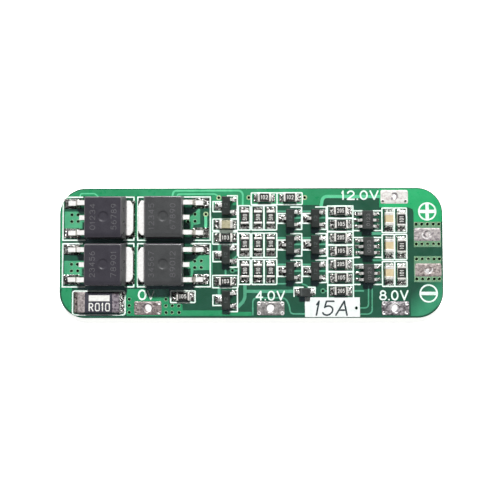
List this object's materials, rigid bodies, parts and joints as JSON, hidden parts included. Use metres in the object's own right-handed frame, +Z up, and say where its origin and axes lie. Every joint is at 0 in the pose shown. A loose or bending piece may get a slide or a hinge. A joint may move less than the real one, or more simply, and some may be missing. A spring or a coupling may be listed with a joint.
{
  "type": "battery management board",
  "caption": "Long rounded circuit board with power transistors, a current shunt, small protection parts and solder pads for the cell and load wires.",
  "frame": {"origin": "centre of the bounding box's bottom, on the plate's underside", "axes": "+X along the board's long side towards the pack pads, +Y towards the edge away from the open wire holes, +Z up out of the component side"},
  "size_m": [0.059, 0.02, 0.0034],
  "materials": {
    "laminate": "green solder mask over glass laminate, satin gloss",
    "solder": "tinned copper and solder, uneven satin",
    "tinned_copper": "bright tin plate",
    "matte_tin": "matte tin",
    "shunt_coat": "epoxy coat",
    "moulding": "moulding compound, fine matte",
    "resistor_coat": "glassy overcoat with tinned ends",
    "capacitor_ceramic": "tan ceramic with tinned ends"
  },
  "bodies": {
    "root": {"capacitor_filter_1": "capacitor_ceramic", "capacitor_filter_2": "capacitor_ceramic", "capacitor_filter_3": "capacitor_ceramic", "capacitor_left": "capacitor_ceramic", "cell_pad_high": "solder", "cell_pad_low": "solder", "cell_pad_mid": "solder", "cell_pad_zero": "solder", "circuit_board": "laminate", "diode": "moulding", "monitor_chip_1": "moulding", "monitor_chip_2": "moulding", "monitor_chip_3": "moulding", "mosfet_1_body": "moulding", "mosfet_1_lead_frame": "tinned_copper", "mosfet_2_body": "moulding", "mosfet_2_lead_frame": "tinned_copper", "mosfet_3_body": "moulding", "mosfet_3_lead_frame": "tinned_copper", "mosfet_4_body": "moulding", "mosfet_4_lead_frame": "tinned_copper", "pack_pad_minus": "solder", "pack_pad_plus": "solder", "resistor_array_1": "resistor_coat", "resistor_array_2": "resistor_coat", "resistor_array_3": "resistor_coat", "resistor_array_4": "resistor_coat", "resistor_array_5": "resistor_coat", "resistor_array_6": "resistor_coat", "resistor_array_7": "resistor_coat", "resistor_array_8": "resistor_coat", "resistor_array_9": "resistor_coat", "resistor_column_1": "resistor_coat", "resistor_column_2": "resistor_coat", "resistor_column_3": "resistor_coat", "resistor_column_4": "resistor_coat", "resistor_column_5": "resistor_coat", "resistor_column_6": "resistor_coat", "resistor_column_7": "resistor_coat", "resistor_filter_1": "resistor_coat", "resistor_filter_2": "resistor_coat", "resistor_filter_3": "resistor_coat", "resistor_left_1": "resistor_coat", "resistor_left_2": "resistor_coat", "resistor_sense_1": "resistor_coat", "resistor_top_1": "resistor_coat", "resistor_top_2": "resistor_coat", "shunt_body": "shunt_coat", "shunt_terminals": "matte_tin", "solder_lands": "solder", "transistor_left_1": "moulding", "transistor_left_2": "moulding", "transistor_left_3": "moulding", "transistor_mid_1": "moulding", "transistor_mid_2": "moulding", "transistor_mid_3": "moulding", "transistor_mid_4": "moulding", "transistor_mid_5": "moulding", "transistor_mid_6": "moulding"}
  },
  "joints": []
}
